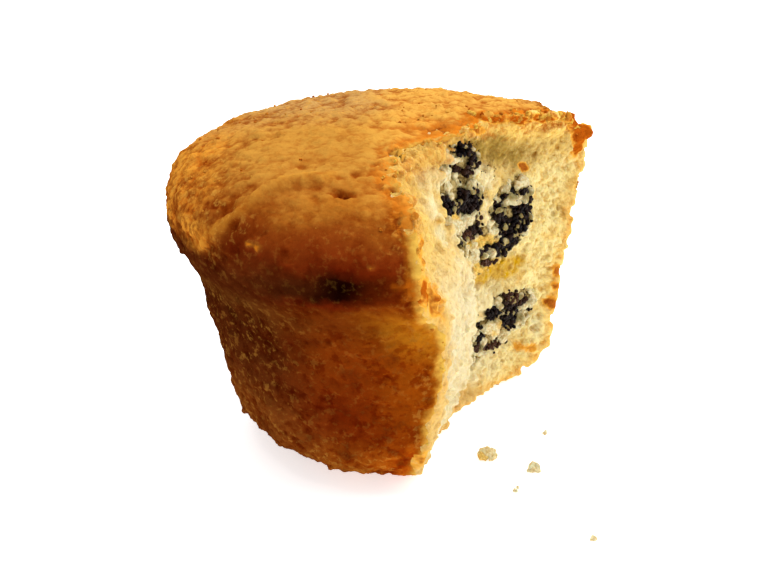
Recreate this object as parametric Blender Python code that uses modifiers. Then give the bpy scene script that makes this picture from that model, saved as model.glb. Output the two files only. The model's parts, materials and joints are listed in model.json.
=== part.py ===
"""Half-eaten bun at its real size, in metres, +Z up.

A turned bun with a domed cap over a tapering side stands on its flat base, with
the bun's axis on the origin. A bite has taken the near right-hand part, and two
runs of poppy-seed filling go through the crumb and end at the bite's wall.
"""

import math

import bmesh
import bpy
from mathutils import Vector, noise

# The bun's outer skin: radii from its axis, heights above its base.
TOP_HEIGHT = 0.0484
CAP_RADIUS = 0.0350
CAP_HEIGHT = 0.0391
NECK_RADIUS = 0.0316
NECK_HEIGHT = 0.0300
FOOT_RADIUS = 0.0277
FOOT_ROUNDING = 0.0106
DOME_FULLNESS = 0.67
SOFTENING_ROUNDS = 12
ARC_STEPS = 200
SKIN_FINE_STEPS = 170
SKIN_RINGS = 35
SKIN_STEPS = 100

# Unevenness, each as the depth and the width of its bumps; a lobe's are shares of its size.
SWELL = (0.00035, 0.0190)
PEBBLES = (0.00045, 0.0054)
CRAGS = (0.00110, 0.0065)
CRUMB = (0.00060, 0.0028)
SEED_CLUMPS = (0.00060, 0.0021)
LOBE_LUMPS = (0.14, 0.55)

# The bite's wall: five rails, each crossing these heights at the (x, y) given.
BITE_HEIGHTS = (0.000, 0.012, 0.024, 0.036, 0.048)
NEAR_EDGE = ((0.0009, -0.0200), (0.0040, -0.0240), (0.0056, -0.0270), (0.0028, -0.0280), (0.0000, -0.0250))
NEAR_BULGE = ((0.0060, -0.0052), (0.0088, -0.0090), (0.0094, -0.0110), (0.0052, -0.0140), (0.0000, -0.0155))
HOLLOW = ((0.0096, 0.0005), (0.0105, -0.0010), (0.0106, -0.0030), (0.0095, -0.0050), (0.0070, -0.0088))
FAR_BULGE = ((0.0160, 0.0075), (0.0160, 0.0065), (0.0155, 0.0040), (0.0155, 0.0035), (0.0135, -0.0010))
FAR_EDGE = ((0.0215, 0.0100), (0.0245, 0.0124), (0.0269, 0.0135), (0.0292, 0.0175), (0.0268, 0.0085))
NEAR_RUN_OUT = Vector((0.0015, -0.0440))
FAR_RUN_OUT = Vector((0.0420, 0.0230))
BITE_CORNER = Vector((0.0600, -0.0600))
BITE_BOTTOM = -0.0030
BITE_TOP = 0.0560
CURVE_STEPS = 12
WALL_GRID = (42, 62)
FILLING_WALL_GRID = (59, 87)

# The filling runs into the crumb from lobes that meet the wall at (x, y, z), each
# with its half width along the wall and its half height.
GAP = 0.0004
WALL_DIRECTION = Vector((0.62, 0.78, 0.0)).normalized()
UP = Vector((0.0, 0.0, 1.0))
UPPER_LOBES = (
    ((0.0078, -0.0070, 0.0415), 0.0046, 0.0036),
    ((0.0085, -0.0068, 0.0370), 0.0058, 0.0038),
    ((0.0088, -0.0062, 0.0322), 0.0042, 0.0034),
    ((0.0128, 0.0008, 0.0278), 0.0064, 0.0036),
    ((0.0168, 0.0053, 0.0320), 0.0052, 0.0048),
)
UPPER_REACH = 0.0150
LOWER_LOBES = (
    ((0.0118, 0.0018, 0.0112), 0.0046, 0.0033),
    ((0.0148, 0.0049, 0.0128), 0.0048, 0.0046),
    ((0.0180, 0.0078, 0.0136), 0.0042, 0.0036),
)
LOWER_REACH = 0.0130
LOBE_DETAIL = 3
WELD = 0.00002

CRUST_COLOUR = (0.45, 0.16, 0.03)
FILLING_COLOUR = (0.012, 0.011, 0.014)


def clear_scene():
    for obj in list(bpy.data.objects):
        bpy.data.objects.remove(obj, do_unlink=True)


def new_collection(name):
    collection = bpy.data.collections.new(name)
    bpy.context.scene.collection.children.link(collection)
    return collection


def new_material(name, colour, roughness):
    material = bpy.data.materials.new(name)
    material.use_nodes = True
    shader = material.node_tree.nodes["Principled BSDF"]
    shader.inputs["Base Color"].default_value = (*colour, 1.0)
    shader.inputs["Roughness"].default_value = roughness
    shader.inputs["Metallic"].default_value = 0.0
    return material


def new_object(name, mesh, collection):
    obj = bpy.data.objects.new(name, mesh)
    collection.objects.link(obj)
    return obj


def mesh_from(bm, name):
    """Turn a bmesh into a mesh of that name, with its faces pointing out."""
    bmesh.ops.recalc_face_normals(bm, faces=bm.faces)
    mesh = bpy.data.meshes.new(name)
    bm.to_mesh(mesh)
    bm.free()
    return mesh


def bumps(point, relief):
    depth, width = relief
    return depth * noise.noise(point / width)


def ease(value, limit):
    """Rise smoothly from 0 at nought to 1 at the limit."""
    share = min(max(value / limit, 0.0), 1.0)
    return share * share * (3.0 - 2.0 * share)


# ---------------------------------------------------------------- the bun's skin

def quarter_turn():
    return [math.pi / 2.0 * step / ARC_STEPS for step in range(ARC_STEPS + 1)]


def evenly_spaced(points, steps):
    """Points in so many even steps along an outline that is given closely."""
    reach = [0.0]
    for before, after in zip(points, points[1:]):
        reach.append(reach[-1] + (after - before).length)
    spaced = []
    index = 0
    for step in range(steps + 1):
        goal = reach[-1] * step / steps
        while index < len(points) - 2 and reach[index + 1] < goal:
            index += 1
        span = reach[index + 1] - reach[index]
        spaced.append(points[index].lerp(points[index + 1], (goal - reach[index]) / span))
    return spaced


def softened(points):
    """The same outline with its creases rounded off and its ends kept."""
    for _ in range(SOFTENING_ROUNDS):
        inner = [
            (before + point * 2.0 + after) / 4.0
            for before, point, after in zip(points, points[1:], points[2:])
        ]
        points = [points[0], *inner, points[-1]]
    return points


def skin_profile():
    """The outer skin from the crown down to the rim of the base, as (radius, height)."""
    dome = [
        Vector((CAP_RADIUS * math.sin(angle) ** DOME_FULLNESS,
                CAP_HEIGHT + (TOP_HEIGHT - CAP_HEIGHT) * math.cos(angle)))
        for angle in quarter_turn()
    ]
    lip = [
        Vector((NECK_RADIUS + (CAP_RADIUS - NECK_RADIUS) * math.cos(angle),
                CAP_HEIGHT - (CAP_HEIGHT - NECK_HEIGHT) * math.sin(angle)))
        for angle in quarter_turn()
    ]
    foot = [
        Vector((FOOT_RADIUS - FOOT_ROUNDING * (1.0 - math.cos(angle)),
                FOOT_ROUNDING * (1.0 - math.sin(angle))))
        for angle in quarter_turn()
    ]
    outline = softened(evenly_spaced(dome + lip[1:] + foot, SKIN_FINE_STEPS))
    return evenly_spaced(outline, SKIN_RINGS)


def turned_skin(collection):
    """Turn the profile, closed by the flat base, about the bun's axis."""
    rings = [Vector((ring.x, 0.0, ring.y)) for ring in skin_profile()]
    rings[0].x = 0.0
    rings.append(Vector((0.0, 0.0, 0.0)))
    mesh = bpy.data.meshes.new("bun_body")
    mesh.from_pydata(rings, [(i, i + 1) for i in range(len(rings) - 1)], [])
    obj = new_object("bun_body", mesh, collection)
    screw = obj.modifiers.new("Turned", "SCREW")
    screw.steps = SKIN_STEPS
    screw.render_steps = SKIN_STEPS
    screw.use_merge_vertices = True
    screw.merge_threshold = WELD
    bpy.context.view_layer.objects.active = obj
    bpy.ops.object.modifier_apply(modifier=screw.name)
    return obj


def roughen_skin(obj):
    """Swell and pebble the skin sideways and up, and leave the base flat."""
    mesh = obj.data
    normals = [vertex.normal.copy() for vertex in mesh.vertices]
    for vertex, normal in zip(mesh.vertices, normals):
        lift = bumps(vertex.co, SWELL) + bumps(vertex.co, PEBBLES)
        clear_of_base = ease(vertex.co.z, FOOT_ROUNDING / 4.0)
        vertex.co += normal * lift * clear_of_base
    mesh.update()


# --------------------------------------------------------------------- the bite

def at_height(rail, height):
    """Where a rail crosses a height, on a smooth curve through its points."""
    step = BITE_HEIGHTS[1] - BITE_HEIGHTS[0]
    place = min(max((height - BITE_HEIGHTS[0]) / step, 0.0), len(rail) - 1.0)
    index = min(int(place), len(rail) - 2)
    return through_points([Vector(point) for point in rail], index, place - index)


def through_points(points, index, share):
    """A point between two of a curve's points, by Catmull and Rom's rule."""
    start, end = points[index], points[index + 1]
    before = points[index - 1] if index > 0 else start * 2.0 - end
    after = points[index + 2] if index + 2 < len(points) else end * 2.0 - start
    return 0.5 * (
        start * 2.0
        + (end - before) * share
        + (before * 2.0 - start * 5.0 + end * 4.0 - after) * share ** 2
        + (start * 3.0 - before - end * 3.0 + after) * share ** 3
    )


def bite_section(height, steps):
    """The wall's outline at one height, from its near end to its far end."""
    rails = (NEAR_EDGE, NEAR_BULGE, HOLLOW, FAR_BULGE, FAR_EDGE)
    corners = [NEAR_RUN_OUT] + [at_height(rail, height) for rail in rails] + [FAR_RUN_OUT]
    curve = [
        through_points(corners, index, step / CURVE_STEPS)
        for index in range(len(corners) - 1)
        for step in range(CURVE_STEPS)
    ]
    curve.append(corners[-1])
    return evenly_spaced(curve, steps)


def wall_row(height, steps, reliefs):
    """One row of points along the craggy wall."""
    section = bite_section(height, steps)
    points = []
    for here, following in zip(section, section[1:]):
        along = (following - here).normalized()
        outward = Vector((along.y, -along.x, 0.0))
        point = here.to_3d() + UP * height
        points.append(point + outward * sum(bumps(point, relief) for relief in reliefs))
    return points


def bite_cutter(name, grid, reliefs, collection):
    """The bitten-away space: the wall, closed by a box outside the bun."""
    rows, columns = grid
    bm = bmesh.new()
    loops = []
    for row in range(rows + 1):
        height = BITE_BOTTOM + (BITE_TOP - BITE_BOTTOM) * row / rows
        points = wall_row(height, columns, reliefs)
        box = [
            Vector((BITE_CORNER.x, FAR_RUN_OUT.y, height)),
            Vector((BITE_CORNER.x, BITE_CORNER.y, height)),
            Vector((NEAR_RUN_OUT.x, BITE_CORNER.y, height)),
        ]
        loops.append([bm.verts.new(point) for point in points + box])
    for below, above in zip(loops, loops[1:]):
        for index in range(len(below)):
            following = (index + 1) % len(below)
            bm.faces.new((below[index], below[following], above[following], above[index]))
    bm.faces.new(loops[0])
    bm.faces.new(loops[-1])
    return as_cutter(new_object(name, mesh_from(bm, name), collection))


def as_cutter(obj):
    obj.hide_render = True
    obj.display_type = "WIRE"
    return obj


def combine(obj, other, operation):
    modifier = obj.modifiers.new(other.name, "BOOLEAN")
    modifier.operation = operation
    modifier.solver = "EXACT"
    modifier.object = other
    bpy.context.view_layer.objects.active = obj
    bpy.ops.object.modifier_apply(modifier=modifier.name)


# ------------------------------------------------------------------ the filling

def lobe(name, place, half_width, half_height, reach, grow, collection):
    """One lumpy lobe, long in the direction that leads into the bun."""
    into_bun = UP.cross(WALL_DIRECTION)
    lumps, lump_width = LOBE_LUMPS
    bm = bmesh.new()
    bmesh.ops.create_icosphere(bm, subdivisions=LOBE_DETAIL, radius=1.0)
    centre = Vector(place)
    for vertex in bm.verts:
        unit = vertex.co.copy()
        swelling = 1.0 + lumps * noise.noise(unit / lump_width + centre / half_height)
        vertex.co = centre + swelling * (
            WALL_DIRECTION * unit.x * (half_width + grow)
            + into_bun * unit.y * (reach + grow)
            + UP * unit.z * (half_height + grow)
        )
    return new_object(name, mesh_from(bm, name), collection)


def filling_run(name, lobes, reach, grow, collection):
    """A run of filling: its lobes joined into one closed body."""
    first, *others = [
        lobe(name if index == 0 else f"{name}_lobe_{index}", *shape, reach, grow, collection)
        for index, shape in enumerate(lobes)
    ]
    for other in others:
        combine(first, other, "UNION")
        bpy.data.objects.remove(other, do_unlink=True)
    return first


def weld(obj):
    """Close up what the cuts left within a hair of each other."""
    bm = bmesh.new()
    bm.from_mesh(obj.data)
    bmesh.ops.remove_doubles(bm, verts=bm.verts, dist=WELD)
    bmesh.ops.dissolve_degenerate(bm, dist=WELD, edges=bm.edges)
    bmesh.ops.triangulate(bm, faces=bm.faces)
    bm.to_mesh(obj.data)
    bm.free()
    obj.data.update()


def main():
    clear_scene()
    bun = new_collection("half_eaten_bun")
    cutters = new_collection("cutters")
    crust = new_material("crust", CRUST_COLOUR, 0.6)
    seeds = new_material("poppy_filling", FILLING_COLOUR, 0.5)

    body = turned_skin(bun)
    body.data.materials.append(crust)
    roughen_skin(body)
    combine(body, bite_cutter("bite", WALL_GRID, (CRAGS, CRUMB), cutters), "DIFFERENCE")

    filling_bite = bite_cutter("filling_bite", FILLING_WALL_GRID, (CRAGS, SEED_CLUMPS), cutters)
    runs = (
        ("poppy_filling_upper", UPPER_LOBES, UPPER_REACH),
        ("poppy_filling_lower", LOWER_LOBES, LOWER_REACH),
    )
    for name, lobes, reach in runs:
        pocket = as_cutter(filling_run(f"pocket_for_{name}", lobes, reach, GAP, cutters))
        combine(body, pocket, "DIFFERENCE")
        filling = filling_run(name, lobes, reach, 0.0, bun)
        filling.data.materials.append(seeds)
        combine(filling, filling_bite, "DIFFERENCE")
        weld(filling)
    weld(body)


main()
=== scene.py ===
"""Bakes the looks of a half-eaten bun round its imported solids.

The solids give every place and size. The bun's body becomes a browned crust over
a torn crumb, and the filling becomes paste, poppy seeds and bits of crumb.
"""

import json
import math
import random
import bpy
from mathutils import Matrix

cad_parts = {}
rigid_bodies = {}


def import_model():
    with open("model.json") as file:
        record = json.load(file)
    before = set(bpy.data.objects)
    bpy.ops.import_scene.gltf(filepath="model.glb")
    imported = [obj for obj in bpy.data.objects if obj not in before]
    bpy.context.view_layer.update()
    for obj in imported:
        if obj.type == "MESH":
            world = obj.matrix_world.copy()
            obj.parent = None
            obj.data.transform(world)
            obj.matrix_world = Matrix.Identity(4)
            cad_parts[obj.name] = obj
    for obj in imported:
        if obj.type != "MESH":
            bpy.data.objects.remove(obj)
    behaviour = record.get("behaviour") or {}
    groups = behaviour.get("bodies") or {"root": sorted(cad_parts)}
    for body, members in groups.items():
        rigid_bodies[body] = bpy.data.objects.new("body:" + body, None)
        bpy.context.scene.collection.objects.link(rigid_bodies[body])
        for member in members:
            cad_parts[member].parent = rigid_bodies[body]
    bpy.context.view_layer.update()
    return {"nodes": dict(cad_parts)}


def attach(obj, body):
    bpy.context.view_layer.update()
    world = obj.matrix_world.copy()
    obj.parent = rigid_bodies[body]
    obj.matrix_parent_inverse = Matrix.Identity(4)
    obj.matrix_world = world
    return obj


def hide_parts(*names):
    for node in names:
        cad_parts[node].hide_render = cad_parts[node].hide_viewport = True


bl_info = {
    "name": "Half-Eaten Bun",
    "version": (1, 0, 0),
    "blender": (4, 5, 0),
    "location": "View3D > Sidebar > Bun",
    "description": "Browned crust, torn crumb, poppy-seed filling and crumbs of a bitten bun",
    "category": "Mesh",
}

import bpy
import numpy as np
from bpy.props import (
    FloatProperty, FloatVectorProperty, IntProperty, IntVectorProperty, PointerProperty,
)
from bpy.types import Operator, Panel, PropertyGroup
from mathutils import Matrix, Vector, noise
from mathutils.kdtree import KDTree

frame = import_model()

# The unbitten bun's skin, as its solid is turned: radii from the axis, heights above the base.
TOP_HEIGHT = 0.0484
CAP_RADIUS = 0.0350
CAP_HEIGHT = 0.0391
NECK_RADIUS = 0.0316
NECK_HEIGHT = 0.0300
FOOT_RADIUS = 0.0277
FOOT_ROUNDING = 0.0106
DOME_FULLNESS = 0.67
SKIN_SLACK = 0.0008
# How many points its outline has along each arc, the side and the base.
ARC_POINTS = 120
SIDE_POINTS = 80
BASE_POINTS = 60

# The way out of the bun through the middle of the bite, and the level way along its wall.
OUT_OF_BITE = Vector((0.78, -0.62, 0.0)).normalized()
ALONG_BITE = Vector((0.62, 0.78, 0.0)).normalized()
# What lies level in the photograph falls by this share towards the wall's far end.
WALL_SLANT = 0.33

# Millimetres in a metre, for tables and attributes that are in millimetres.
MM = 1000.0
# How steeply the solid has to turn away from the skin to count as torn.
TORN_FACING = 0.35
# How many steps a weight from 0 to 1 is kept in.
WEIGHT_STEPS = 20
# How much sooner faces that are out of sight are merged.
HIDDEN_FACTOR = 1000.0
# How much height counts as 1 in the relief that the crust's and the crumb's materials read.
CRUST_RELIEF = 0.0004
CRUMB_RELIEF = 0.0002
# How far from the bite the red-brown streaks reach, and how far the crust's inner face is seen.
STREAK_REACH = 0.004
SIGHT_REACH = 0.003
# How deep under the skin the crumb can be stained by loose seeds.
SEEDED_DEPTH = 0.002
# How far scattered copies stray from the points of the surface.
SCATTER_STRAY = 0.00012
# How many shapes of grain take turns in a mesh of grains.
GRAIN_SHAPES = 4


def shown(red, green, blue):
    """A linear colour from the values, 0 to 255, that a screen shows."""
    shares = [value / 255.0 for value in (red, green, blue)]
    return tuple(
        share / 12.92 if share <= 0.04045 else ((share + 0.055) / 1.055) ** 2.4
        for share in shares
    )


def colour_property(name, description, default):
    return FloatVectorProperty(
        name=name, description=description, subtype="COLOR", size=3, min=0.0, max=1.0, default=default
    )


def tone(name, description, red, green, blue):
    """A colour property whose default is given as a screen shows it."""
    return colour_property(name, description, shown(red, green, blue))


def length_property(name, description, default):
    return FloatProperty(
        name=name, description=description, unit="LENGTH", min=0.0, precision=5, default=default
    )


def strength_property(name, description, default, unit="NONE"):
    return FloatProperty(name=name, description=description, unit=unit, default=default)


def count_property(name, description, default):
    return IntProperty(name=name, description=description, min=0, default=default)


def pair_property(name, description, default):
    """Two counts, for the upper and the lower filling."""
    return IntVectorProperty(name=name, description=description, size=2, min=0, default=default)


# ------------------------------------------------------------------ mesh helpers

def link(obj):
    bpy.context.scene.collection.objects.link(obj)


def select_only(obj):
    bpy.ops.object.select_all(action="DESELECT")
    obj.select_set(True)
    bpy.context.view_layer.objects.active = obj


def modify(obj, kind, **settings):
    """Add a modifier, set it and apply it."""
    select_only(obj)
    modifier = obj.modifiers.new(kind.title(), kind)
    for name, value in settings.items():
        setattr(modifier, name, value)
    bpy.ops.object.modifier_apply(modifier=modifier.name)


def roughen(obj, size, depth, middle=0.5, group="", hard=False, octaves=2):
    """Push the surface in and out by cloudy noise with bumps of that size."""
    texture = bpy.data.textures.new(f"{obj.name}_clouds", "CLOUDS")
    texture.noise_scale = size
    texture.noise_type = "HARD_NOISE" if hard else "SOFT_NOISE"
    texture.noise_depth = octaves
    modify(obj, "DISPLACE", texture=texture, strength=depth, mid_level=middle,
           texture_coords="LOCAL", vertex_group=group)


def points_of(obj):
    points = np.empty(len(obj.data.vertices) * 3)
    obj.data.vertices.foreach_get("co", points)
    return points.reshape(-1, 3)


def normals_of(obj):
    normals = np.empty(len(obj.data.vertices) * 3)
    obj.data.vertex_normals.foreach_get("vector", normals)
    return normals.reshape(-1, 3)


def move_points(obj, points):
    obj.data.vertices.foreach_set("co", np.asarray(points, dtype=float).ravel())
    obj.data.update()


def weigh(obj, name, weights):
    """Keep a weight for each point in a vertex group."""
    group = obj.vertex_groups.new(name=name)
    steps = np.round(np.clip(weights, 0.0, 1.0) * WEIGHT_STEPS).astype(int)
    for step in range(1, WEIGHT_STEPS + 1):
        group.add(np.nonzero(steps == step)[0].tolist(), step / WEIGHT_STEPS, "REPLACE")


def keep(obj, **attributes):
    """Keep named numbers for each point, for the material to read."""
    for name, values in attributes.items():
        layer = obj.data.attributes.new(name, "FLOAT", "POINT")
        layer.data.foreach_set("value", np.asarray(values, dtype=np.float32))


def values_of(obj, name):
    """The numbers that an attribute keeps."""
    values = np.empty(len(obj.data.vertices), dtype=np.float32)
    obj.data.attributes[name].data.foreach_get("value", values)
    return values.astype(float)


def copied_solid(node, name):
    """A copy of a CAD solid with its corners merged, to start a new piece from."""
    obj = bpy.data.objects.new(name, frame["nodes"][node].data.copy())
    link(obj)
    obj.data.name = name
    obj.data.materials.clear()
    select_only(obj)
    bpy.ops.object.mode_set(mode="EDIT")
    bpy.ops.mesh.select_all(action="SELECT")
    bpy.ops.mesh.remove_doubles(threshold=0.000001)
    bpy.ops.object.mode_set(mode="OBJECT")
    return obj


def noise_at(points, size, seed=0.0):
    """Smooth noise between about -1 and 1, with bumps of that size."""
    shift = Vector((seed, seed * 0.7, -seed))
    return np.array([noise.noise(Vector(point) / size + shift) for point in points])


def ramp(values, start, end):
    """Rise smoothly from 0 at the start to 1 at the end."""
    shares = np.clip((values - start) / (end - start), 0.0, 1.0)
    return shares * shares * (3.0 - 2.0 * shares)


def tree_of(points):
    tree = KDTree(len(points))
    for index, point in enumerate(points):
        tree.insert(point, index)
    tree.balance()
    return tree


def nearest_distances(points, targets):
    tree = tree_of(targets)
    return np.array([tree.find(point)[2] for point in points])


def nearness(points, spots):
    """From 0 to 1, how near each point of the bite's wall is to the nearest of a few spots.

    A spot gives, in millimetres, its place along the wall, its height, half-width and
    half-height, and then its strength. Depth into the wall doesn't count.
    """
    along = points @ np.array(ALONG_BITE) * MM
    heights = points[:, 2] * MM
    total = np.zeros(len(points))
    for place, height, half_width, half_height, strength in spots:
        aside = along - place
        above = heights - height + WALL_SLANT * aside
        fall = (aside / half_width) ** 2 + (above / half_height) ** 2
        total = np.maximum(total, strength * np.exp(-fall))
    return total


def level_base(points):
    """Nothing reaches under the flat base."""
    points[:, 2] = np.maximum(points[:, 2], 0.0)
    return points


def delete_points(obj, doomed):
    """Delete the points that are marked, with their faces."""
    obj.data.polygons.foreach_set("select", np.zeros(len(obj.data.polygons), dtype=bool))
    obj.data.edges.foreach_set("select", np.zeros(len(obj.data.edges), dtype=bool))
    obj.data.vertices.foreach_set("select", np.asarray(doomed, dtype=bool))
    select_only(obj)
    bpy.ops.object.mode_set(mode="EDIT")
    bpy.ops.mesh.select_mode(type="VERT")
    bpy.ops.mesh.delete(type="VERT")
    bpy.ops.object.mode_set(mode="OBJECT")


def thin_out(obj, hidden, triangles):
    """Merge faces, first where they are hidden, until so many triangles are left."""
    weigh(obj, "hidden", np.asarray(hidden, dtype=float))
    for group in ("hidden", ""):
        corners = sum(len(face.vertices) - 2 for face in obj.data.polygons)
        if corners > triangles:
            modify(obj, "DECIMATE", ratio=triangles / corners, vertex_group=group,
                   vertex_group_factor=HIDDEN_FACTOR)


def relief_of(obj):
    """How far each point stands out from a smoothed copy of its surface."""
    points = points_of(obj)
    smooth = obj.copy()
    smooth.data = obj.data.copy()
    link(smooth)
    modify(smooth, "SMOOTH", factor=0.5, iterations=14)
    settled = points_of(smooth)
    bpy.data.objects.remove(smooth, do_unlink=True)
    return np.einsum("ij,ij->i", points - settled, normals_of(obj))


def finish_piece(piece, nodes, material):
    """Shade a finished piece, and say where it belongs."""
    piece.vertex_groups.clear()
    piece.data.materials.clear()
    piece.data.materials.append(material)
    piece.data.shade_smooth()
    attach(piece, "root")
    if nodes:
        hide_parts(*nodes)


# ---------------------------------------------------------------- the outer skin

class OuterSkin:
    """The unbitten bun's skin: how deep a point lies under it, and which way is out."""

    def __init__(self):
        turn = np.linspace(0.0, math.pi / 2.0, ARC_POINTS)
        dome = np.column_stack((
            CAP_RADIUS * np.sin(turn) ** DOME_FULLNESS,
            CAP_HEIGHT + (TOP_HEIGHT - CAP_HEIGHT) * np.cos(turn),
        ))
        lip = np.column_stack((
            NECK_RADIUS + (CAP_RADIUS - NECK_RADIUS) * np.cos(turn),
            CAP_HEIGHT - (CAP_HEIGHT - NECK_HEIGHT) * np.sin(turn),
        ))
        side = np.linspace(lip[-1], (FOOT_RADIUS, FOOT_ROUNDING), SIDE_POINTS)
        foot = np.column_stack((
            FOOT_RADIUS - FOOT_ROUNDING * (1.0 - np.cos(turn)),
            FOOT_ROUNDING * (1.0 - np.sin(turn)),
        ))
        base = np.linspace(foot[-1], (0.0, 0.0), BASE_POINTS)
        outline = np.vstack((dome, lip[1:], side[1:], foot[1:], base[1:]))
        run = np.gradient(outline, axis=0)
        self.outward = np.column_stack((-run[:, 1], run[:, 0]))
        self.outward /= np.linalg.norm(self.outward, axis=1)[:, None]
        self.outline = outline
        self.tree = tree_of([(radius, height, 0.0) for radius, height in outline])

    def under(self, points):
        """Each point's depth under the skin, and the skin's outward direction there."""
        places = np.column_stack((np.hypot(points[:, 0], points[:, 1]), points[:, 2]))
        found = [self.tree.find((radius, height, 0.0))[1] for radius, height in places]
        outward = self.outward[found]
        depths = np.einsum("ij,ij->i", self.outline[found] - places, outward)
        around = points[:, :2] / np.maximum(places[:, :1], 1e-6)
        return depths, np.column_stack((around * outward[:, :1], outward[:, 1]))


SKIN = OuterSkin()


def dense_body(name, grain):
    """The bun's solid, evenly meshed, with its depths and which of its points the bite tore."""
    body = copied_solid("bun_body", name)
    modify(body, "REMESH", mode="VOXEL", voxel_size=grain)
    points = points_of(body)
    depths, outward = SKIN.under(points)
    facing = np.einsum("ij,ij->i", outward, normals_of(body))
    torn = (depths > SKIN_SLACK) | (facing < TORN_FACING)
    return body, depths, outward, torn


# --------------------------------------------------------------------- materials

class Value:
    """A number or vector that a shader works out, with its operators."""

    def __init__(self, shader, socket):
        self.shader = shader
        self.socket = socket

    def math(self, operation, first, second):
        return self.shader.node("ShaderNodeMath", {"operation": operation}, {0: first, 1: second})

    def __add__(self, other):
        return self.math("ADD", self, other)

    def __sub__(self, other):
        return self.math("SUBTRACT", self, other)

    def __rsub__(self, other):
        return self.math("SUBTRACT", other, self)

    def __mul__(self, other):
        return self.math("MULTIPLY", self, other)

    def __truediv__(self, other):
        return self.math("DIVIDE", self, other)

    def __rtruediv__(self, other):
        return self.math("DIVIDE", other, self)

    __radd__ = __add__
    __rmul__ = __mul__


class Shader:
    """One material, built from expressions on its nodes' sockets."""

    def __init__(self, name, roughness, **surface):
        self.material = bpy.data.materials.new(name)
        self.material.use_nodes = True
        self.nodes = self.material.node_tree.nodes
        self.links = self.material.node_tree.links
        self.surface = self.nodes["Principled BSDF"]
        self.surface.inputs["Roughness"].default_value = roughness
        for socket, value in surface.items():
            self.surface.inputs[socket.replace("_", " ")].default_value = value
        self.place = self.node("ShaderNodeTexCoord", output="Object")
        self.colour = None

    def node(self, kind, settings=None, values=None, output=0):
        """Add a node: first its settings, then the values or links of its sockets."""
        node = self.nodes.new(kind)
        for name, value in (settings or {}).items():
            if name == "stops":
                self.set_stops(node.color_ramp, value)
            else:
                setattr(node, name, value)
        for socket, value in (values or {}).items():
            if isinstance(value, Value):
                self.links.new(value.socket, node.inputs[socket])
            else:
                node.inputs[socket].default_value = value
        return Value(self, node.outputs[output])

    @staticmethod
    def set_stops(colour_ramp, stops):
        while len(colour_ramp.elements) < len(stops):
            colour_ramp.elements.new(1.0)
        for element, (position, colour) in zip(colour_ramp.elements, stops):
            element.position = position
            element.color = (*colour, 1.0)

    def attribute(self, name):
        return self.node("ShaderNodeAttribute", {"attribute_name": name}, output="Fac")

    def noise(self, size, detail=2.0, roughness=0.5):
        """Noise with bumps of that size, from 0 to 1."""
        return self.node(
            "ShaderNodeTexNoise",
            values={"Vector": self.place, "Scale": 1.0 / size, "Detail": detail, "Roughness": roughness},
        )

    def swing(self, amount, size, detail=2.0, roughness=0.5):
        """Noise about zero, of that amount from end to end."""
        return (self.noise(size, detail, roughness) - 0.5) * amount

    def patches(self, start, end, size, detail=4.0, roughness=0.6):
        """Soft-edged patches where the noise is past the start, whole from the end on."""
        return self.between(self.noise(size, detail, roughness), start, end)

    def cells(self, size, wobble):
        """Rounded grains of that size: 0 in the middle of a grain, about 1 between grains."""
        warp = self.node(
            "ShaderNodeTexNoise", values={"Vector": self.place, "Scale": 1.5 / size}, output="Color",
        )
        place = self.node(
            "ShaderNodeVectorMath", {"operation": "MULTIPLY_ADD"},
            {0: warp, 1: (wobble, wobble, wobble), 2: self.place},
        )
        return self.node(
            "ShaderNodeTexVoronoi", values={"Vector": place, "Scale": 1.0 / size}, output="Distance",
        )

    def between(self, value, start, end):
        """Rise from 0 at the start to 1 at the end."""
        return self.node(
            "ShaderNodeMapRange", {"interpolation_type": "SMOOTHSTEP"},
            {"Value": value, "From Min": start, "From Max": end},
        )

    def by_height(self, height, stops):
        """A colour for each height above the base, from pairs of height and colour."""
        shares = [(level / TOP_HEIGHT, colour) for level, colour in stops]
        return self.node("ShaderNodeValToRGB", {"stops": shares}, {"Fac": height / TOP_HEIGHT})

    def blend(self, factor, first, second, mode="MIX"):
        """Mix two colours, each worked out or fixed."""
        first, second = (
            colour if isinstance(colour, Value) else (*colour, 1.0) for colour in (first, second)
        )
        return self.node("ShaderNodeMix", {"data_type": "RGBA", "blend_type": mode},
                         {0: factor, 6: first, 7: second}, output=2)

    def cover(self, share, colour):
        """Lay a colour over the surface's own by that share."""
        self.colour = self.blend(share, self.colour, colour)

    def tint(self, share, colour):
        """Darken the surface's colour by another's by that share."""
        self.colour = self.blend(share, self.colour, colour, mode="MULTIPLY")

    def along(self, axis):
        return self.node("ShaderNodeSeparateXYZ", values={0: self.place}, output=axis)

    def bump(self, height, distance):
        bump = self.node("ShaderNodeBump", values={"Height": height, "Distance": distance})
        self.links.new(bump.socket, self.surface.inputs["Normal"])

    def finished(self):
        self.links.new(self.colour.socket, self.surface.inputs["Base Color"])
        return self.material


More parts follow.
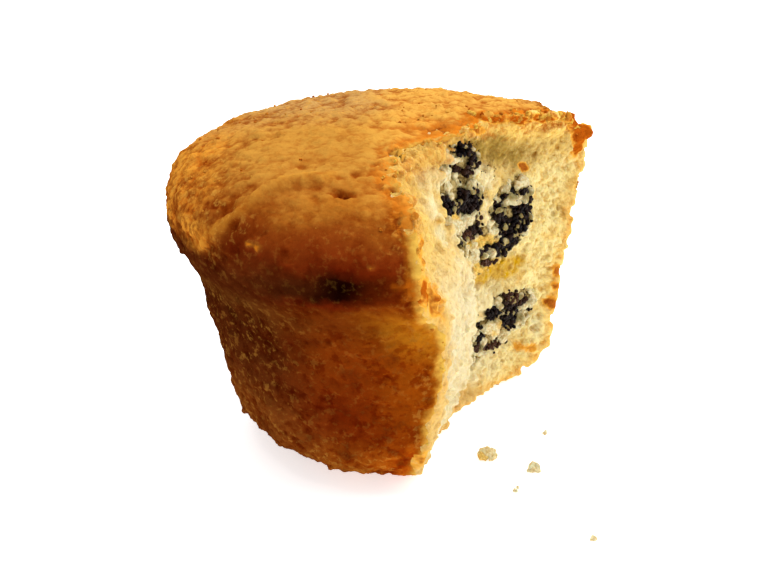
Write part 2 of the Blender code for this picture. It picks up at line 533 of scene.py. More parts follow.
def colour_and_light_by_place(shader, look):
    """Colour the crust by its height, from dull on the left to bright beside the bite: partly its own
    browning, partly painted light from the right and painted shade down the cap's side.
    """
    x, y, z = (shader.along(axis) for axis in "XYZ")
    height = z + shader.swing(0.0048, 0.0060, 3.0, 0.55) + shader.swing(0.004, 0.022, 1.0)
    across = x + shader.swing(0.010, 0.009, 3.0)
    dull = shader.by_height(height, (
        (0.0, look.dull_foot), (0.011, look.dull_foot), (0.017, look.dull_side), (0.025, look.dull_low),
        (0.029, look.dull_neck), (0.0320, look.dull_low), (0.0355, look.dull_scorch_and_shade), (0.0385, look.dull_cap),
        (0.0420, look.rim), (0.0438, look.shoulder), (0.0468, look.dome),
    ))
    bright = shader.by_height(height, (
        # Painted light: the golden line round the base stands for light from the table caught on the foot's
        # rounding.
        (0.0015, look.lit_base_rim), (0.0045, look.bright_foot), (0.006, look.bright_foot),
        (0.011, look.bright_side), (0.015, look.bright_side), (0.024, look.bright_low),
        (0.0290, look.bright_neck), (0.0318, look.bright_neck), (0.0328, look.cap_side),
        # Painted shade with darker crust: the near-black band just under the cap's lip.
        (0.0341, look.scorch_and_shade), (0.0367, look.scorch_and_shade), (0.0387, look.cap_side), (0.0406, look.cap),
        (0.0425, look.rim), (0.0442, look.shoulder), (0.0460, look.crown), (0.0476, look.dome),
    ))
    lit = shader.by_height(height, (
        (0.0, look.lit_foot), (0.006, look.lit_foot), (0.012, look.lit_side), (0.024, look.lit_side),
        (0.0285, look.lit_neck), (0.0310, look.lit_neck), (0.0338, look.lit_cap), (0.0370, look.lit_cap),
        (0.0400, look.cap), (0.0430, look.shoulder),
    ))
    # Partly painted light: the bright colours beside the bite stand for light from the right, and the dull
    # ones on the left for less of it.
    shader.colour = shader.blend(shader.between(across, -0.022, -0.006), dull, bright)
    below_dome = shader.between(z, 0.0440, 0.0410)
    # Painted light: the lit colours, laid on beside the bite below the dome.
    shader.cover(shader.between(across, -0.008, 0.004) * below_dome * 0.75, lit)
    rim = shader.between(across, -0.0210, -0.0295) * shader.between(height, 0.0355, 0.0390)
    shader.cover(rim * (shader.patches(0.42, 0.58, 0.0015, 4.0, 0.65) * 0.65 + 0.35), look.left_rim)
    on_top = shader.between(height, 0.0445, 0.0470)
    # Painted sheen: the far side of the top is paler, standing for a back light's grazing sheen.
    shader.cover(shader.between(y, -0.008, 0.012) * on_top * 0.8, look.far_dome_sheen)
    # Painted light: the lit dome colour on the top beside the bite.
    shader.cover(shader.between(across, -0.007, 0.001) * on_top * 0.8, look.lit_dome)


def shade_highlight_and_speckle(shader, look):
    """Paint shade into the crust's hollows and highlights on its crests, and speckle it."""
    z = shader.along("Z")
    low = shader.between(z, 0.031, 0.026)
    upper = shader.between(z, 0.0375, 0.0430) * 0.7 + 0.3
    shader.tint(shader.patches(0.50, 0.62, 0.0019, 4.0, 0.66) * (0.45 + low * 0.5), look.freckle)
    # Painted highlight and shade: the fold's crest is paler, and the hollow beside it darker.
    shader.cover(shader.attribute("fold") * 0.7, look.fold_highlight)
    shader.tint(shader.attribute("hollow") * 0.6, look.pit)

    # Painted shade and highlight: hollows of the relief are darkened, and its crests and highest bumps made
    # golden.
    relief = shader.attribute("relief") + shader.swing(1.4, 0.0013, 3.0, 0.6)
    shader.tint(shader.between(relief, -0.2, -1.4) * 0.75, look.pit)
    shader.tint(shader.between(relief, -1.4, -2.4) * 0.9, look.deep_pit_shade)
    shader.cover(shader.between(relief, 0.4, 1.9) * upper * 0.45, look.crest)
    shader.cover(shader.between(relief, 1.2, 2.1) * 0.85, look.bump_highlight)
    grain = shader.noise(0.0010, 4.0, 0.65)
    rough = shader.attribute("rough")
    # Golden flecks on the rough crust: partly its own tone, partly painted sparkle on its fine grain.
    shader.cover(shader.between(grain, 0.52, 0.66) * rough * (upper + low * 0.25) * 0.55, look.fleck_and_sparkle)
    shader.tint(shader.between(grain, 0.48, 0.36) * rough * 0.4, look.pit)
    shader.cover(shader.patches(0.50, 0.68, 0.0040, 4.0, 0.64) * low * 0.6, look.blotch)


def brown_torn_edge(shader, look):
    """Gild the crust beside the bite, and pale it where it is broken off."""
    bite = shader.attribute("bite") + shader.swing(2.2, 0.0022, 4.0, 0.6)
    broken = shader.attribute("broken")
    patchy = shader.patches(0.38, 0.52, 0.0024, 4.0, 0.7)
    # Where the edge is broken, the lit dome colour lays painted light on it.
    shader.cover(shader.between(bite, 2.5, 1.0) * 0.85, shader.blend(broken, look.edge, look.lit_dome))
    shader.cover(shader.between(bite, 4.6, 2.6) * broken * patchy, look.broken)
    shader.cover(shader.between(bite, 1.9, 0.4) * (1.0 - broken * (0.5 + patchy * 0.5)), look.edge_pale)
    shader.cover(shader.attribute("streak") * (0.35 + patchy * 0.55), look.streak)
    shader.cover(shader.attribute("inside"), look.torn)


def crust_material(look):
    shader = Shader("browned_crust", 0.7, Specular_IOR_Level=0.0)
    colour_and_light_by_place(shader, look)
    shade_highlight_and_speckle(shader, look)
    brown_torn_edge(shader, look)
    shader.bump(shader.noise(0.0006, 3.0, 0.6) * 0.6 + shader.noise(0.0018, 2.0) * 0.6, 0.0003)
    return shader.finished()


def crumb_material(look):
    shader = Shader("torn_crumb", 0.9, Subsurface_Weight=0.3, Subsurface_Scale=0.0012,
                    Subsurface_Radius=(1.0, 0.75, 0.3), Specular_IOR_Level=0.0)
    far = shader.attribute("far")
    near = 1.0 - far
    height = shader.along("Z")
    top = shader.between(height, 0.0385, 0.0440)
    near_crumb = shader.blend(shader.between(height, 0.024, 0.038), look.near_crumb, look.near_upper)
    shader.colour = shader.blend(far, near_crumb, look.far_crumb)
    patches = shader.patches(0.48, 0.64, 0.0019)
    shader.cover(patches * (0.2 + far * 0.35), look.warm)

    pale = shader.attribute("pale")
    reach = 0.8 + near * 0.4 + top * 0.9
    depth = (shader.attribute("depth") + shader.swing(3.0, 0.0016, 4.0, 0.6)) / reach
    golden = (0.45 + near * 0.35 + top * 0.45) * (1.0 - pale * 0.5)
    shader.cover(shader.between(height, 0.0345, 0.0405) * far * 0.75, look.corner)
    shader.cover(pale * 0.8, look.pale)
    toasted = shader.blend(far, look.toasted, look.toasted_far)
    shader.cover(shader.between(depth, 4.6, 1.4) * golden, toasted)
    skin = 0.06 + shader.patches(0.44, 0.56, 0.0024, 4.0, 0.65) * (0.5 - near * 0.3)
    shader.cover(shader.between(depth, 2.4, 0.8) * skin, look.skin_side)
    shader.cover(shader.attribute("yolk") * (0.85 + patches * 0.15), look.yolk)
    # Grey from the seeds, and painted shade in the recess under the top crust.
    shader.cover(shader.attribute("murk"), look.murk)

    grain = shader.cells(0.00055, 0.0005)
    relief = shader.attribute("relief") + (0.45 - grain) * 1.6
    # Painted shade: the crumb's hollows and the gaps between its grains are darkened.
    shader.tint(shader.between(relief, 0.3, -1.6) * (0.30 + far * 0.5), look.hollow)
    # Painted highlight: the tips of the grains are paler.
    shader.cover(shader.between(relief, 0.5, 1.9) * 0.35, look.crumb_tip_highlight)
    browned = shader.patches(0.46, 0.60, 0.0024, 5.0, 0.7) * top * (0.35 + far * 0.45)
    shader.cover(shader.between(depth, 2.8, 1.4) * browned, look.browned)
    for name, baked in (("toast", look.toast), ("streak", look.browned)):
        share = shader.attribute(name)
        shader.cover(shader.between(share, 0.05, 0.40), look.skin_side)
        shader.cover(shader.between(share, 0.25, 0.80), baked)
    shader.cover(shader.attribute("seeded"), look.seeded)
    shader.bump(shader.noise(0.0003, 3.0, 0.65) * 0.5 - grain * 0.7, 0.00040)
    return shader.finished()


def paste_material(look):
    shader = Shader("poppy_paste", 0.7, Specular_IOR_Level=0.0)
    grain = shader.cells(0.00050, 0.0005)
    # Painted shade: the smeared crumb is darker between its grains.
    shader.colour = shader.blend(shader.between(grain, 0.3, 0.8), look.smeared, look.smeared_with_shade)
    brown = shader.patches(0.48, 0.70, 0.0012, 3.0, 0.6)
    shader.cover(shader.attribute("bare"), shader.blend(brown, look.paste, look.paste_brown))
    shader.bump(shader.noise(0.0005, 3.0, 0.6) - grain * 0.7, 0.0004)
    return shader.finished()


def seed_material(look):
    shader = Shader("poppy_seed", 0.35, Specular_IOR_Level=0.06)
    shader.colour = shader.blend(shader.attribute("tint"), look.seed, look.seed_pale)
    return shader.finished()


def bit_material(look):
    """Bits of bun from cream crumb at a tint of 0 through golden at 0.5 to browned crust at 1."""
    shader = Shader("crumb_bits", 0.9, Subsurface_Weight=0.1, Subsurface_Scale=0.0006, Specular_IOR_Level=0.0)
    tint = shader.attribute("tint")
    shader.colour = shader.blend(shader.between(tint, 0.05, 0.5), look.cream, look.golden)
    shader.cover(shader.between(tint, 0.5, 1.0), look.brown)
    grain = shader.cells(0.00040, 0.0004)
    shader.tint(shader.between(grain, 0.35, 0.75) * 0.5, look.shade)
    shader.tint(shader.attribute("smudge"), look.smudge)
    shader.bump(shader.noise(0.0003, 3.0, 0.65) * 0.5 - grain * 0.6, 0.00030)
    return shader.finished()


# ------------------------------------------------------------------------ crust

def keep_main_sheet(obj):
    """Delete the scraps that hang by nothing."""
    select_only(obj)
    bpy.ops.object.mode_set(mode="EDIT")
    bpy.ops.mesh.select_all(action="DESELECT")
    bpy.ops.object.mode_set(mode="OBJECT")
    farthest = np.argmin(points_of(obj) @ np.array(OUT_OF_BITE))
    obj.data.vertices[int(farthest)].select = True
    bpy.ops.object.mode_set(mode="EDIT")
    bpy.ops.mesh.select_linked(delimit=set())
    bpy.ops.mesh.select_all(action="INVERT")
    bpy.ops.mesh.delete(type="VERT")
    bpy.ops.object.mode_set(mode="OBJECT")


# Marks on the crust: place, half-width, and height, below zero for a pit.
CRUST_MARKS = (
    ((-0.0090, -0.0262, 0.0460), 0.00065, -0.00045),
    ((-0.0081, -0.0265, 0.0458), 0.00090, -0.00080),
    ((-0.0071, -0.0270, 0.0456), 0.00110, -0.00110),
    ((-0.0062, -0.0270, 0.0455), 0.00075, -0.00070),
    ((-0.0012, -0.0159, 0.0477), 0.00100, -0.00080),
    ((-0.0004, -0.0150, 0.0478), 0.00080, -0.00070),
    ((0.0004, -0.0141, 0.0478), 0.00090, -0.00080),
    ((-0.0211, -0.0133, 0.0466), 0.00080, -0.00030),
    ((-0.0205, -0.0062, 0.0474), 0.00070, -0.00025),
    ((-0.0199, -0.0194, 0.0459), 0.00070, -0.00025),
    ((-0.0131, -0.0185, 0.0469), 0.00090, -0.00025),
    ((-0.0060, -0.0221, 0.0470), 0.00070, -0.00025),
    ((-0.0021, -0.0238, 0.0468), 0.00080, -0.00035),
    ((-0.0255, -0.0227, 0.0416), 0.00090, -0.00035),
    ((-0.0178, -0.0297, 0.0402), 0.00150, 0.00100),
    ((-0.0190, -0.0290, 0.0403), 0.00110, 0.00070),
    ((-0.0038, -0.0346, 0.0392), 0.00100, 0.00060),
    ((-0.0285, -0.0161, 0.0430), 0.00100, 0.00055),
    ((-0.0153, -0.0224, 0.0460), 0.00120, 0.00045),
    ((-0.0124, -0.0215, 0.0465), 0.00110, 0.00045),
)
# The soft fold that runs over the rim and across the top.
FOLD = (
    (-0.0281, -0.0215, 0.0372), (-0.0252, -0.0240, 0.0396), (-0.0226, -0.0254, 0.0416),
    (-0.0200, -0.0253, 0.0436), (-0.0178, -0.0238, 0.0451), (-0.0155, -0.0229, 0.0459),
    (-0.0122, -0.0224, 0.0465), (-0.0085, -0.0232, 0.0468),
)
# How far the fold spreads to each side, and the way from its crest to the hollow beside it.
FOLD_REACH = 0.0021
FOLD_HOLLOW = Vector((0.0020, -0.0019, -0.0020))

# From here on, tables of five numbers a row are spots on the bite's wall, as nearness() reads them.
# Red-brown streaks, mostly along the top of the bite.
STREAKS = (
    (7.2, 48.0, 3.0, 0.7, 1.0), (12.0, 46.9, 3.4, 0.7, 1.0), (17.5, 46.0, 3.4, 0.7, 0.9),
    (24.5, 44.9, 3.0, 1.0, 1.0), (27.0, 43.8, 2.4, 1.6, 1.2), (28.4, 41.6, 2.0, 2.2, 1.0),
    (29.8, 38.8, 1.5, 2.4, 0.9), (-25.2, 35.2, 3.8, 2.6, 0.7),
)
# The cap's far corner, which is worn, and the way that it is worn.
CORNER = ((29.0, 44.5, 5.0, 5.0, 1.0),)
CORNER_WEAR = np.array((-0.8, -0.3, -0.5))
# Where the crust is torn back from the bite's near lip.
TORN_LIP = ((-13.6, 44.8, 3.6, 2.6, 1.0), (-7.0, 46.0, 3.2, 1.8, 0.6))


def raise_spot(points, normals, tree, place, radius, height):
    """Push a soft round spot out, or in where the height is below zero."""
    for found, index, distance in tree.find_range(place, radius):
        share = 1.0 - (distance / radius) ** 2
        points[index] += normals[index] * height * share * share


def raise_fold(crust, look):
    """Raise the soft fold, lower where it starts, and keep where its crest and its hollow are, for its
    painted highlight and painted shade.
    """
    points = points_of(crust)
    normals = normals_of(crust)
    tree = tree_of(points)
    places = []
    for number, (start, end) in enumerate(zip(FOLD, FOLD[1:])):
        for share in (0.0, 0.25, 0.5, 0.75):
            places.append(Vector(start).lerp(Vector(end), share))
            height = look.fold_height * min(0.3, 0.05 + 0.05 * (number + share))
            raise_spot(points, normals, tree, places[-1], FOLD_REACH, height)
    crest = nearest_distances(points, places)
    hollow = nearest_distances(points, [place + FOLD_HOLLOW for place in places])
    keep(crust, fold=np.exp(-(crest / 0.0010) ** 2), hollow=np.exp(-(hollow / 0.0018) ** 2))
    move_points(crust, points)


def mark_crust(crust, look):
    """Raise the bumps that the photo shows, sink the pits, and scatter small ones."""
    draw = random.Random(11)
    points = points_of(crust)
    normals = normals_of(crust)
    tree = tree_of(points)
    spots = list(CRUST_MARKS)
    for _ in range(look.bump_count):
        centre = points[draw.randrange(len(points))]
        radius = draw.uniform(0.0004, 0.0010)
        spots.append((centre, radius, radius * draw.choice((0.35, 0.45, -0.35))))
    for place, radius, height in spots:
        raise_spot(points, normals, tree, Vector(place), radius, height)
    move_points(crust, points)


def torn_shell(look):
    """The solid's skin, smoothed and without what the bite tore away, and the torn points."""
    crust, _, _, torn = dense_body("bun_crust", look.step)
    points = points_of(crust)
    torn_points = points[torn]
    from_bite = nearest_distances(points, torn_points)
    weigh(crust, "skin", ramp(from_bite, 0.0002, 0.0020))
    modify(crust, "SMOOTH", factor=0.5, iterations=24, vertex_group="skin")

    far = ramp(points[:, 1], -0.006, 0.006)
    on_side = 1.0 - ramp(points[:, 2], 0.0395, 0.0430)
    ragged = look.raggedness * (0.6 + noise_at(points, 0.0026) + 0.6 * noise_at(points, 0.0009, 5.0))
    ragged += look.far_raggedness * far * on_side * (1.0 + noise_at(points, 0.0020, 3.0))
    ragged += look.torn_lip * nearness(points, TORN_LIP) * (1.0 + 0.5 * noise_at(points, 0.0018, 6.0))
    delete_points(crust, torn | (from_bite < ragged))
    keep_main_sheet(crust)
    return crust, torn_points


def crust_zones(points, from_bite):
    """From 0 to 1, how rough each point of the crust is, and how broken beside the bite."""
    x, y, z = points.T
    on_top = ramp(z, 0.0415, 0.0440)
    far = ramp(x - y * 0.2, 0.004, 0.010)
    far_side = ramp(y, -0.004, 0.006)
    near_bite = 1.0 - ramp(from_bite, 0.0015, 0.0050)
    broken = np.clip(near_bite * on_top * (0.7 + 0.3 * far) + near_bite * far_side * 0.5, 0.0, 1.0)
    left_rim = ramp(-x, 0.016, 0.027) * ramp(z, 0.033, 0.037)
    far_top = on_top * ramp(y, -0.012, 0.004)
    foot = 1.0 - ramp(z, 0.004, 0.013)
    left_side = ramp(-x, 0.010, 0.022) * (1.0 - ramp(z, 0.028, 0.032))
    roughest = np.maximum.reduce((left_rim, far_top, foot, left_side * 0.6, near_bite))
    return np.clip(0.25 + 0.75 * roughest, 0.0, 1.0), broken


def crumple_crust(crust, rough, broken, look):
    """Fold, crease, pit and crumble the crust, and keep how far each point has moved."""
    weigh(crust, "rough_part", rough)
    weigh(crust, "broken_part", broken)
    raise_fold(crust, look)
    before = points_of(crust)
    roughen(crust, 0.0062, 0.0007)
    mark_crust(crust, look)
    roughen(crust, 0.0030, 0.00055, hard=True)
    roughen(crust, 0.0022, 0.00060, group="rough_part", hard=True)
    roughen(crust, 0.0014, 0.00050, group="rough_part", octaves=1)
    roughen(crust, 0.0007, 0.00018)
    roughen(crust, 0.0030, 0.0010, 0.6, group="broken_part", hard=True, octaves=1)
    roughen(crust, 0.0011, 0.0012, 0.55, group="broken_part")
    relief = np.einsum("ij,ij->i", points_of(crust) - before, normals_of(crust))
    keep(crust, relief=relief / CRUST_RELIEF)
    return before


def bake_crust(look):
    """The browned shell: the solid's skin, creased, pitted and crumbly, with its own thickness."""
    crust, torn_points = torn_shell(look)
    from_bite = nearest_distances(points_of(crust), torn_points)
    rough, broken = crust_zones(points_of(crust), from_bite)
    before = crumple_crust(crust, rough, broken, look)
    streak = ramp(nearness(before, STREAKS) * (1.0 + 0.6 * noise_at(before, 0.0012, 5.0)), 0.25, 0.8)
    keep(crust, rough=rough, broken=broken, bite=from_bite * MM,
         streak=streak * (from_bite < STREAK_REACH))
    worn = worn_corner(before, from_bite, look.corner_wear)
    move_points(crust, level_base(points_of(crust) + worn))

    weigh(crust, "thick", 0.2 + 0.8 * ramp(from_bite, 0.0, 0.0018))
    modify(crust, "SOLIDIFY", thickness=look.thickness, offset=-1.0, use_rim=True,
           vertex_group="thick", thickness_vertex_group=0.0)
    inside = np.arange(len(crust.data.vertices)) >= len(from_bite)
    keep(crust, inside=inside)
    hidden = inside & (np.tile(from_bite, 2)[:len(inside)] > SIGHT_REACH)
    thin_out(crust, hidden, look.triangles)
    finish_piece(crust, ["bun_body"], crust_material(look))


def worn_corner(points, from_bite, wear):
    """How far the cap's far corner, beside the bite, is worn in and down."""
    share = nearness(points, CORNER) * (1.0 - ramp(from_bite, 0.003, 0.008))
    return share[:, None] * CORNER_WEAR * wear


class CrustLook(PropertyGroup):
    """The browned crust's sizes and colours."""

    step: length_property("Mesh step", "Size of the crust's mesh faces", 0.00041)
    thickness: length_property("Thickness", "How thick the browned crust is", 0.0010)
    raggedness: length_property("Raggedness", "How far the torn edge wanders", 0.00028)
    far_raggedness: length_property("Far raggedness", "How far the crust is torn back behind", 0.0007)
    torn_lip: length_property("Torn lip", "How far the crust is torn back on the near lip", 0.0013)
    fold_height: length_property("Fold", "Height of the soft fold", 0.0013)
    corner_wear: length_property("Corner wear", "How far the cap's far corner is worn", 0.0016)
    bump_count: count_property("Bumps", "How many small bumps and pits", 420)
    triangles: count_property("Triangles", "How many triangles are kept", 185000)
    dome: tone("Dome", "Golden crust on top", 186, 131, 52)
    # Painted sheen: paler crust on the far side of the top, standing for a back light's grazing sheen.
    far_dome_sheen: tone("Far dome", "Paler crust on the far side of the top", 185, 144, 85)
    # Painted light: the crust on top beside the bite, where light from the right falls.
    lit_dome: tone("Lit dome", "Brighter crust on top near the bite", 220, 164, 70)
    crown: tone("Crown", "Crust just over the shoulder", 172, 106, 32)
    shoulder: tone("Shoulder", "Crust where the top turns down", 152, 87, 25)
    rim: tone("Rim", "Brown crust round the cap's rim", 131, 61, 15)
    cap: tone("Cap", "Red-brown crust of the cap", 122, 47, 11)
    cap_side: tone("Side of the cap", "Dark red-brown crust", 90, 25, 4)
    # Painted shade with darker crust: the band just under the cap, where the lip shades it.
    scorch_and_shade: tone("Scorch", "Dark crust under the cap", 13, 1, 1)
    bright_neck: tone("Bright neck", "Golden band under the cap", 98, 41, 6)
    bright_low: tone("Upper side", "Orange-brown side", 117, 48, 6)
    bright_side: tone("Bright side", "Red-brown side", 107, 36, 4)
    bright_foot: tone("Bright foot", "Golden-brown foot", 136, 66, 12)
    # Painted light: the lit colours stand for light from the right falling on the crust beside the bite.
    lit_side: tone("Lit side", "Brighter side near the bite", 140, 66, 6)
    lit_foot: tone("Lit foot", "Brighter foot near the bite", 206, 102, 14)
    lit_neck: tone("Lit neck", "Golden band under the cap near the bite", 184, 114, 20)
    lit_cap: tone("Lit side of the cap", "Side of the cap near the bite", 124, 44, 6)
    # Painted light: the golden line round the base stands for light from the table caught on the foot's
    # rounding.
    lit_base_rim: tone("Base rim", "Golden rim round the base", 164, 98, 30)
    left_rim: tone("Left rim", "Golden rim on the far left", 208, 138, 46)
    dull_cap: tone("Dull cap", "Side of the cap on the left", 100, 38, 9)
    # Painted shade with darker crust: the band under the cap on the left.
    dull_scorch_and_shade: tone("Dull scorch", "Dark crust on the left", 76, 32, 9)
    dull_neck: tone("Dull neck", "Dull band under the cap", 80, 42, 12)
    dull_low: tone("Dull low", "Dark dull side", 66, 26, 6)
    dull_side: tone("Dull side", "Dull brown side", 84, 38, 11)
    dull_foot: tone("Dull foot", "Dull brown foot", 116, 62, 20)
    blotch: tone("Blotches", "Dark red blotches on the side", 74, 20, 3)
    freckle: tone("Freckles", "Tint of the red-brown freckles", 220, 186, 150)
    # Painted shade: tints the relief's hollows and the fold's hollow, and also random dark specks of grain.
    pit: tone("Pits", "Tint of the hollows", 196, 130, 62)
    # Painted shade: tints the deepest hollows of the relief.
    deep_pit_shade: tone("Deep pits", "Tint of the deepest pits", 150, 84, 50)
    # Painted highlight: laid on the relief's crests.
    crest: tone("Crests", "Golden crests", 194, 132, 44)
    # Painted highlight: paler crust along the fold's crest.
    fold_highlight: tone("Fold's crest", "Paler crust along the fold", 202, 136, 44)
    # Painted highlight: laid on the highest bumps.
    bump_highlight: tone("Golden bumps", "The highest bumps", 226, 128, 20)
    # Golden flecks: partly the crust's own tone, partly painted sparkle on its fine grain.
    fleck_and_sparkle: tone("Flecks", "Golden flecks", 206, 148, 60)
    edge: tone("Edge", "Golden crust beside the bite", 168, 98, 18)
    edge_pale: tone("Pale edge", "Pale golden crust at the bite", 212, 167, 70)
    broken: tone("Broken", "Orange broken crust along the top of the bite", 206, 118, 28)
    streak: tone("Streak", "Red-brown streak along the top of the bite", 166, 84, 12)
    torn: tone("Torn", "The crust's torn thickness", 198, 144, 56)


class BUN_OT_crust(Operator):
    """Make the browned crust from the bun's solid"""

    bl_idname = "bun.crust"
    bl_label = "Browned crust"

    def execute(self, context):
        bake_crust(context.scene.bun_crust)
        return {"FINISHED"}


# ------------------------------------------------------------------------ crumb

class Scatter:
    """Spots for many copies: each a place, a turn, three sizes and a tint, all drawn in turn."""

    def __init__(self, seed):
        self.draw = random.Random(seed)
        self.spots = []

    def grains(self, obj, weights, count, seed, radii, lift, tints=(0.0, 0.0)):
        """Add grains on a surface: radii, lift in radii and tints are ranges to draw from."""
        draw = self.draw
        for place, normal in zip(*scattered_on(obj, weights, count, seed)):
            radius = radii[0] + (radii[1] - radii[0]) * draw.random() ** 2
            sizes = [radius * draw.uniform(0.75, 1.3) for _ in range(3)]
            centre = place + normal * radius * draw.uniform(*lift)
            self.spots.append((centre, lying_on(normal, draw), sizes, draw.uniform(*tints)))

    def seeds(self, obj, weights, count, seed, length, shares, lift):
        """Add seeds on a surface: shares of a whole seed's length and lift in lengths are ranges."""
        draw = self.draw
        for place, normal in zip(*scattered_on(obj, weights, count, seed)):
            size = length * draw.uniform(*shares)
            centre = place + normal * draw.uniform(*lift) * size
            self.spots.append((centre, lying_on(normal, draw, 0.6), (size,) * 3, 0.0))

    def places(self):
        return np.array([spot[0] for spot in self.spots])


def scattered_on(obj, weights, count, seed):
    """Places on a surface, more of them where the weight is high, each with its outward direction."""
    draw = np.random.default_rng(seed)
    picks = draw.choice(len(weights), size=count, p=weights / weights.sum())
    places = points_of(obj)[picks] + draw.normal(0.0, SCATTER_STRAY, (count, 3))
    return places, normals_of(obj)[picks]


def lying_on(normal, draw, tilt=0.35):
    """A random turn that lays a copy's Z along the surface's outward direction."""
    lean = Vector([part + draw.gauss(0.0, tilt) for part in normal]).normalized()
    spin = Matrix.Rotation(draw.uniform(0.0, 2.0 * math.pi), 3, "Z")
    return lean.to_track_quat("Z", "Y").to_matrix() @ spin


def lumpy_ball(detail, lumps, seed):
    """One grain, as a lumpy ball of radius 1, for copies only."""
    bpy.ops.object.select_all(action="DESELECT")
    bpy.ops.mesh.primitive_ico_sphere_add(subdivisions=detail, radius=1.0)
    ball = bpy.context.object
    points = points_of(ball)
    points *= (1.0 + lumps * (noise_at(points, 0.9, seed) + 0.5 * noise_at(points, 0.4, seed)))[:, None]
    move_points(ball, points)
    return ball


def joined_copies(name, patterns, spots):
    """One mesh of many copies, each turned, sized and set at its own spot, with its own tint."""
    shapes = [(points_of(p), [tuple(f.vertices) for f in p.data.polygons]) for p in patterns]
    vertices, faces, tints = [], [], []
    count = 0
    for number, (centre, turn, sizes, tint) in enumerate(spots):
        points, polygons = shapes[number % len(shapes)]
        vertices.append((points * sizes) @ np.array(turn).T + np.array(centre))
        faces.extend(tuple(count + corner for corner in polygon) for polygon in polygons)
        tints.extend([tint] * len(points))
        count += len(points)
    mesh = bpy.data.meshes.new(name)
    mesh.from_pydata(np.vstack(vertices).tolist(), [], faces)
    obj = bpy.data.objects.new(name, mesh)
    link(obj)
    keep(obj, tint=tints)
    for pattern in patterns:
        bpy.data.objects.remove(pattern, do_unlink=True)
    return obj


def joined_grains(name, spots, lumps, seed_step, first_seed=0.0, detail=2):
    """One mesh of lumpy grains, one at each spot, their shapes taking turns."""
    seeds = [first_seed + index * seed_step for index in range(GRAIN_SHAPES)]
    return joined_copies(name, [lumpy_ball(detail, lumps, seed) for seed in seeds], spots)


# Pale lumps of crumb beside the filling.
CREAM_LUMPS = (
    (-4.7, 41.4, 2.2, 1.4, 1.0), (1.7, 39.9, 2.6, 1.0, 0.9), (6.9, 39.1, 2.8, 1.9, 1.0),
    (6.6, 34.3, 1.4, 2.2, 0.9), (7.6, 30.2, 2.0, 1.3, 0.8), (-2.9, 33.7, 2.6, 1.9, 0.9),
    (-3.6, 44.6, 2.4, 1.8, 1.0), (21.5, 9.5, 2.4, 3.0, 0.6), (-9.0, 43.5, 5.0, 2.4, 0.9),
    (-9.6, 39.9, 2.6, 2.2, 1.0), (-8.4, 35.4, 2.4, 2.0, 0.8), (-6.0, 30.5, 2.0, 2.6, 0.5),
)
# Yellow, grey and brown stains on the crumb; the grey is partly painted shade.
YOLK_STAINS = (
    (11.4, 22.9, 5.8, 2.1, 1.3), (6.6, 23.6, 3.5, 2.2, 1.3), (4.8, 25.2, 2.6, 2.4, 1.1),
    (16.4, 22.6, 3.0, 1.5, 0.9), (7.0, 29.0, 4.8, 1.3, 1.1), (-3.2, 36.3, 2.6, 0.9, 0.9),
    (0.6, 31.0, 1.8, 1.4, 0.7), (12.5, 12.5, 5.0, 3.2, 0.6),
)
# Grey on the crumb: greyed by the seeds near the filling, and painted shade in the recess under the top crust
# and between the fillings.
GREY_AND_SHADE_STAINS = (
    (6.5, 43.6, 3.4, 2.2, 1.0), (10.5, 42.4, 4.4, 2.8, 0.9), (15.2, 40.4, 4.6, 2.8, 0.7),
    (20.0, 38.6, 3.4, 2.4, 0.35), (13.6, 36.2, 3.6, 0.9, 0.5), (19.8, 31.0, 1.2, 3.0, 0.35),
    (16.0, 15.7, 4.4, 1.6, 0.4), (14.0, 9.6, 4.4, 1.4, 0.55), (-2.0, 32.5, 3.0, 1.6, 0.3),
    (12.0, 19.4, 6.0, 1.8, 0.4),
)
TOAST_STAINS = (
    (17.2, 38.0, 1.25, 0.85, 1.2), (24.4, 12.8, 1.0, 1.4, 0.8), (25.5, 18.3, 0.9, 1.4, 0.7),
    (25.4, 15.6, 0.9, 1.0, 0.6), (20.0, 5.6, 2.6, 1.4, 0.5), (3.6, 47.2, 2.6, 0.9, 0.7),
    (-20.0, 6.0, 2.0, 5.0, 0.45), (-23.5, 39.5, 3.4, 3.2, 0.5), (-21.5, 32.6, 3.2, 3.2, 0.58),
)
# The hollow under the top crust.
RECESS = ((10.5, 41.3, 6.5, 2.6, 1.0),)
